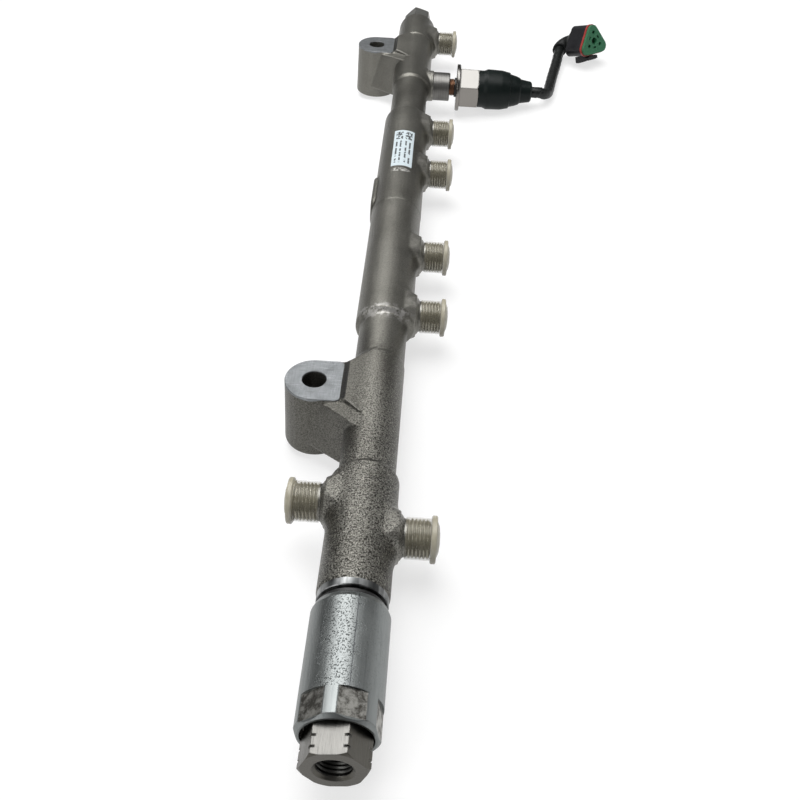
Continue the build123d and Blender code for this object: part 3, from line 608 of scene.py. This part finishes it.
# Darker copy of turned steel for the thread deep in the fitting: painted shade
shaded_return_steel = turned_steel("shaded_return_steel", (0.05, 0.05, 0.047), (0.11, 0.11, 0.105), 0.34, (90, 500, 90))
port_thread_steel = thread_steel()
port_collar_steel = collar_steel()
pad_steel = milled_steel()
materials = {
    "forged_steel": forged_steel(),
    "plated_steel": plated_steel(),
    "fitting_steel": fitting_steel(),
    "plug_steel": turned_steel("plug_steel", (0.25, 0.25, 0.235), (0.4, 0.4, 0.38), 0.42, (90, 900, 90)),
    "nickel_steel": nickel_steel(),
    "hard_steel": turned_steel("hard_steel", (0.40, 0.40, 0.41), (0.58, 0.58, 0.59), 0.3, (90, 1500, 90)),
    "spring_steel": turned_steel("spring_steel", (0.20, 0.20, 0.21), (0.34, 0.34, 0.35), 0.36),
    "copper_seal": turned_steel("copper_seal", (0.50, 0.24, 0.13), (0.66, 0.36, 0.21), 0.32),
    "contact_metal": turned_steel("contact_metal", (0.50, 0.46, 0.36), (0.68, 0.64, 0.54), 0.28),
    "cap_plastic": cap_plastic(),
    "boot_plastic": moulded("boot_plastic", (0.003, 0.006, 0.0055), (0.007, 0.012, 0.011), 0.42, 0.2),
    "housing_plastic": moulded("housing_plastic", (0.01, 0.01, 0.012), (0.02, 0.02, 0.023), 0.42, 0.35),
    "green_plastic": moulded("green_plastic", (0.028, 0.150, 0.070), (0.042, 0.205, 0.100), 0.52),
    "label_film": label_film(),
    "black_rubber": moulded("black_rubber", (0.010, 0.010, 0.010), (0.022, 0.022, 0.022), 0.42),
    "sleeve_rubber": moulded("sleeve_rubber", (0.004, 0.005, 0.005), (0.010, 0.011, 0.011), 0.5, 0.25),
    "cable_tape": cable_tape(),
    "red_seal": moulded("red_seal", (0.33, 0.035, 0.030), (0.46, 0.055, 0.045), 0.4),
}
for subpart in frame["record"]["subparts"]:
    mesh = nodes_of[subpart["node"]].data
    mesh.materials.clear()
    mesh.materials.append(materials[subpart["material_slot"]])


def evaluated_mesh(piece):
    graph = bpy.context.evaluated_depsgraph_get()
    return bpy.data.meshes.new_from_object(piece.evaluated_get(graph))


def vertex_spots(mesh):
    """Places of a mesh's vertices, one row each."""
    spots = numpy.empty(len(mesh.vertices) * 3)
    mesh.vertices.foreach_get("co", spots)
    return spots.reshape(-1, 3)


def filled_bores():
    """The CAD forging as one mesh whose hidden bores are filled."""
    mesh = bmesh.new()
    mesh.from_mesh(nodes_of["rail_body"].data)
    along = along_rail()
    mouth = 1.0 * MM
    inner = 2.0 * MM
    plugs = [
        (along, main_bore_r, near_end_y + inner, far_end_y - inner),
        (along, valve_bore_r, near_end_y + mouth, near_end_y + valve_bore_depth),
        (along, plug_bore_r, far_end_y - plug_bore_depth, far_end_y - mouth),
        (out_of_port(sensor_y), sensor_bore_r, inner, sensor_bore_end),
    ]
    for y, side in ports:
        plugs.append((out_of_port(y, side), port_bore_r, inner, port_bore_end))
    for place, radius, start, end in plugs:
        middle = place @ Matrix.Translation((0, 0, (start + end) / 2))
        bmesh.ops.create_cone(
            mesh,
            cap_ends=True,
            segments=40,
            radius1=radius,
            radius2=radius,
            depth=end - start,
            matrix=middle,
        )
    filled = bpy.data.meshes.new("filled_forging")
    mesh.to_mesh(filled)
    mesh.free()
    return filled


def blend_roots(spots):
    """Raises the rail's skin round each port in the hollow ramp that the dies leave."""
    for y, side in ports + [(sensor_y, 1)]:
        out = (spots[:, 0] - axis_x) * side
        up = spots[:, 2] - axis_z
        radius = numpy.hypot(out, up)
        turn = numpy.arctan2(up, out)
        away = numpy.hypot(spots[:, 1] - y, radius * turn) - ramp_start_r
        share = numpy.clip(1 - numpy.clip(away, 0, None) / ramp_run, 0, 1)
        raised = radius + ramp_rise * share**2
        raised = numpy.minimum(raised, ramp_limit / numpy.clip(numpy.cos(turn), 0.2, 1))
        moved = (share > 0) & (numpy.abs(turn) < 1.2) & (radius > skin_r) & (raised > radius)
        grow = numpy.where(moved, raised / numpy.maximum(radius, MM), 1.0)
        spots[:, 0] = axis_x + out * grow * side
        spots[:, 2] = axis_z + up * grow


def forging():
    """The forging with the soft blends that its dies leave, cut back under its pads and ring."""
    rough = bpy.data.objects.new("rough_forging", filled_bores())
    bpy.context.scene.collection.objects.link(rough)
    remesh = rough.modifiers.new("voxels", "REMESH")
    remesh.mode = "VOXEL"
    remesh.voxel_size = 0.5 * MM
    piece = bpy.data.objects.new("forging", evaluated_mesh(rough))
    bpy.data.objects.remove(rough)
    bpy.context.scene.collection.objects.link(piece)
    spots = vertex_spots(piece.data)
    blend_roots(spots)
    piece.data.vertices.foreach_set("co", spots.ravel())
    soft = piece.modifiers.new("die_radii", "SMOOTH")
    soft.factor = 0.5
    soft.iterations = 5
    thin = piece.modifiers.new("thinned", "DECIMATE")
    thin.ratio = 0.28
    smooth = evaluated_mesh(piece)
    piece.modifiers.clear()
    piece.data = smooth
    under = 0.5 * MM
    spots = vertex_spots(smooth)
    on_pad = (spots[:, 2] > pad_z - under) & (spots[:, 0] < pad_end_x - under)
    spots[on_pad, 2] = pad_z - under
    at_ring = spots[:, 1] < near_end_y + under
    spots[at_ring, 1] = near_end_y + under
    smooth.vertices.foreach_set("co", spots.ravel())
    smooth.polygons.foreach_set("use_smooth", [True] * len(smooth.polygons))
    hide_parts("rail_body")
    on_rail(piece, materials["forged_steel"])


def pad_outline():
    """Round end about the bolt, straight sides and two rounded corners towards the rail."""

    def arc(x, y, radius, start, end, steps):
        turns = [math.radians(start + (end - start) * step / steps) for step in range(steps + 1)]
        return [Vector((x + radius * math.cos(turn), y + radius * math.sin(turn), 0)) for turn in turns]

    corner_x = pad_end_x - pad_corner_r
    corner_y = lug_r - pad_corner_r
    outline = arc(0, 0, lug_r, 90, 270, 48)
    outline += [Vector((corner_x * step / 6, -lug_r, 0)) for step in range(1, 6)]
    outline += arc(corner_x, -corner_y, pad_corner_r, -90, 0, 8)
    outline += [Vector((pad_end_x, corner_y * (step / 8 - 1), 0)) for step in range(1, 16)]
    outline += arc(corner_x, corner_y, pad_corner_r, 0, 90, 8)
    outline += [Vector((corner_x * (1 - step / 6), lug_r, 0)) for step in range(1, 6)]
    return outline


def milled_pad(name, bolt_y):
    """Flat milled top of a lug round its bolt hole."""
    outline = pad_outline()
    hole = [point.normalized() * bolt_hole_r for point in outline]
    count = len(outline)
    rows = []
    centre = Vector((0, bolt_y, 0))
    for loop, inset, z in (
        (hole, 0, pad_z - pad_thickness),
        (hole, 0, pad_z - pad_edge),
        (hole, -pad_edge, pad_z),
        (outline, pad_edge, pad_z),
        (outline, 0, pad_z - pad_edge),
        (outline, 0, pad_z - pad_thickness),
    ):
        rows.append([centre + p * (1 - inset / p.length) + Vector((0, 0, z)) for p in loop])
    verts = [point for row in rows for point in row]
    faces = []
    for row in range(len(rows)):
        after = (row + 1) % len(rows)
        for i in range(count):
            j = (i + 1) % count
            faces.append((row * count + i, row * count + j, after * count + j, after * count + i))
    piece = clean_mesh(name, verts, faces)
    soften(piece, 25)
    on_rail(piece, pad_steel)


def port_thread(name, y, side):
    """Machined collar and thread of a port, seen through its cap."""
    place = out_of_port(y, side)
    collar = [
        (port_root_r - thread_wall, port_collar_start),
        (port_collar_r, port_collar_start),
        (port_collar_r, port_thread_start),
        (port_root_r, port_thread_start),
        (port_root_r, port_thread_end),
        (port_root_r - thread_wall, port_thread_end),
    ]
    on_rail(lathe(f"{name}_collar", collar, place), port_collar_steel)
    screw = helical_thread(
        f"{name}_thread",
        place,
        port_thread_start,
        port_thread_end,
        port_root_r,
        port_crest_r,
        thread_pitch,
    )
    on_rail(screw, port_thread_steel)


def relief_spring():
    """The relief valve's spring, copied from its CAD mesh and riding the rail; it does not shorten as the
    poppet lifts.
    """
    piece = bpy.data.objects.new("relief_spring", nodes_of["valve_spring"].data.copy())
    bpy.context.scene.collection.objects.link(piece)
    piece.matrix_world = nodes_of["valve_spring"].matrix_world
    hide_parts("valve_spring")
    on_rail(piece, materials["spring_steel"])
    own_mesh(piece)


forging()
relief_spring()
milled_pad("near_pad", bolt_ys[0])
milled_pad("far_pad", bolt_ys[1])
end_ring = [
    (ring_r - ring_wall, near_end_y),
    (ring_r - ring_edge, near_end_y),
    (ring_r, near_end_y + ring_edge),
    (ring_r, near_end_y + ring_length),
    (ring_r - ring_wall, near_end_y + ring_length),
]
on_rail(lathe("valve_end_ring", end_ring, along_rail()), ring_steel)
for number, (port_y, port_side) in enumerate(ports, start=1):
    port_thread(f"port_{number}", port_y, port_side)
sensor_boss = [
    (boss_bore_r, boss_start),
    (boss_r, boss_start),
    (boss_r, boss_end - boss_edge),
    (boss_r - boss_edge, boss_end),
    (boss_bore_r, boss_end),
]
on_rail(lathe("sensor_boss_face", sensor_boss, out_of_port(sensor_y)), boss_steel)
neck_thread = helical_thread(
    "sensor_neck_thread",
    out_of_port(sensor_y),
    boss_end,
    neck_thread_end,
    neck_root_r,
    neck_crest_r,
    neck_pitch,
)
on_rail(neck_thread, copper_thread())
return_thread = helical_thread(
    "return_thread",
    along_rail(-1),
    -return_end_y - return_thread_depth,
    -return_end_y - return_lead_in,
    return_root_r,
    return_crest_r,
    thread_pitch,
)
on_rail(return_thread, shaded_return_steel)


# Pigtail: the route of the taped cable, from the boot's nose to the plug's sleeve
cable_d = 7.5 * MM
cable_exit = Vector((boot_high.x, sensor_y, axis_z))
cable_route = [
    cable_exit,
    cable_exit + Vector((5.5 * MM, 0, 0)),
    Vector((124.3, 149.2, 22.4)) * MM,
    Vector((127.2, 155.0, 20.4)) * MM,
    Vector((129.3, 167.5, 20.1)) * MM,
    Vector((132.4, 186.0, 20.5)) * MM,
    Vector((136.2, 205.0, 21.6)) * MM,
    Vector((139.5, 224.5, 24.3)) * MM,
]


def spline_points(route):
    """Points along the smooth line that a route's points control."""
    curve = bpy.data.curves.new("cable_line", "CURVE")
    curve.dimensions = "3D"
    spline = curve.splines.new("NURBS")
    spline.points.add(len(route) - 1)
    for point, place in zip(spline.points, route):
        point.co = (*place, 1)
    spline.order_u = 3
    spline.use_endpoint_u = True
    spline.resolution_u = 24
    line = bpy.data.objects.new("cable_line", curve)
    bpy.context.scene.collection.objects.link(line)
    mesh = evaluated_mesh(line)
    points = [vertex.co.copy() for vertex in mesh.vertices]
    bpy.data.objects.remove(line)
    return points


def taped_cable():
    """Tube along the cable's line whose tape laps over itself in a spiral."""
    points = spline_points(cable_route)
    around = 40
    lap = 0.42 * MM
    tape_pitch = 7.0 * MM
    wrinkle_depth = 0.06 * MM
    verts = []
    faces = []
    run = 0.0
    side = Vector((0, 0, 1))
    for i, point in enumerate(points):
        before = points[max(i - 1, 0)]
        after = points[min(i + 1, len(points) - 1)]
        ahead = (after - before).normalized()
        run += (point - before).length
        side = (side - ahead * side.dot(ahead)).normalized()
        other = ahead.cross(side)
        for step in range(around):
            turn = 2 * math.pi * step / around
            phase = (run / tape_pitch + step / around) % 1.0
            spot = Vector((run * 900, math.cos(turn) * 2, math.sin(turn) * 2))
            radius = cable_d / 2 + lap * (phase - 0.5) + wrinkle_depth * noise.noise(spot)
            verts.append(point + (side * math.cos(turn) + other * math.sin(turn)) * radius)
    for i in range(len(points) - 1):
        for step in range(around):
            after = (step + 1) % around
            here, there = i * around, (i + 1) * around
            faces.append((here + step, here + after, there + after, there + step))
    last = (len(points) - 1) * around
    faces.append(tuple(reversed(range(around))))
    faces.append(tuple(last + step for step in range(around)))
    piece = clean_mesh("taped_cable", verts, faces)
    soften(piece, 60)
    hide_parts("pigtail_cable")
    on_rail(piece, materials["cable_tape"])


taped_cable()


def floor():
    """Pale surface under the lugs' feet and the plug's latch, with a soft shadow.

    Its glow fills up to white what the lamps leave grey, for the eye, for metal and for clear plastic.
    """
    paper_grey = 0.36
    paper_glow = 0.68
    size = floor_half_size
    place = Matrix.Translation((foot_edge_x, 0, 0)) @ Matrix.Rotation(-floor_slope, 4, "Y")
    corners = [(-size, -size), (size, -size), (size, size), (-size, size)]
    verts = [place @ Vector((x, y, 0)) for x, y in corners]
    piece = clean_mesh("floor", verts, [(0, 1, 2, 3)], smooth=False)
    material = bpy.data.materials.new("floor_paper")
    material.use_nodes = True
    tree = material.node_tree
    tree.nodes.clear()
    paper = tree.nodes.new("ShaderNodeBsdfDiffuse")
    paper.inputs["Color"].default_value = (paper_grey, paper_grey, paper_grey, 1)
    rays = tree.nodes.new("ShaderNodeLightPath")
    glow = tree.nodes.new("ShaderNodeEmission")
    strength = None
    for name in ("Is Camera Ray", "Is Glossy Ray", "Is Transmission Ray"):
        share = tree.nodes.new("ShaderNodeMath")
        share.operation = "MULTIPLY"
        share.inputs[1].default_value = paper_glow
        tree.links.new(rays.outputs[name], share.inputs[0])
        if strength is None:
            strength = share.outputs[0]
        else:
            either = tree.nodes.new("ShaderNodeMath")
            either.operation = "MAXIMUM"
            tree.links.new(strength, either.inputs[0])
            tree.links.new(share.outputs[0], either.inputs[1])
            strength = either.outputs[0]
    tree.links.new(strength, glow.inputs["Strength"])
    both = tree.nodes.new("ShaderNodeAddShader")
    out = tree.nodes.new("ShaderNodeOutputMaterial")
    tree.links.new(paper.outputs[0], both.inputs[0])
    tree.links.new(glow.outputs[0], both.inputs[1])
    tree.links.new(both.outputs[0], out.inputs["Surface"])
    piece.data.materials.append(material)


def studio():
    """Grey room with a wide soft box above and weaker ones at the sides."""
    room_grey = 0.11
    world = bpy.data.worlds.new("studio")
    world.use_nodes = True
    room = world.node_tree.nodes["Background"]
    room.inputs["Color"].default_value = (room_grey, room_grey, room_grey, 1)
    bpy.context.scene.world = world
    boxes = [
        ("soft_box_top", (-0.14, 0.20, 1.0), (0.03, -0.05, 0.0), 0.75, 1.35, 14.0),
        ("soft_box_left", (-0.70, -0.95, 0.60), (0.03, -0.05, 0.0), 0.5, 0.9, 4.0),
        ("soft_box_right", (1.0, 0.10, 0.60), (0.03, 0.0, 0.0), 0.3, 0.9, 0.8),
    ]
    for name, place, target, width, length, power in boxes:
        light = bpy.data.lights.new(name, "AREA")
        light.shape = "RECTANGLE"
        light.size = width
        light.size_y = length
        light.energy = power
        lamp = bpy.data.objects.new(name, light)
        lamp.location = place
        lamp.rotation_euler = (Vector(target) - Vector(place)).to_track_quat("-Z", "Y").to_euler()
        bpy.context.scene.collection.objects.link(lamp)


def camera():
    """The photograph's viewpoint, above the valve end and looking along the rail."""
    data = bpy.data.cameras.new("camera")
    data.sensor_width = 36
    data.lens = 43.03
    data.clip_start = 0.01
    place = (0.0466055, -0.5119286, 0.3234107)
    right = Vector((0.99761, 0.05762, 0.0381))
    up = Vector((-0.06706, 0.6755, 0.7343))
    back = right.cross(up).normalized()
    up = back.cross(right.normalized())
    right.normalize()
    eye = bpy.data.objects.new("camera", data)
    turn = Matrix((right, up, back)).transposed().to_4x4()
    eye.matrix_world = Matrix.Translation(place) @ turn
    bpy.context.scene.collection.objects.link(eye)
    bpy.context.scene.camera = eye


floor()
studio()
camera()
bpy.context.scene.view_settings.view_transform = "Standard"
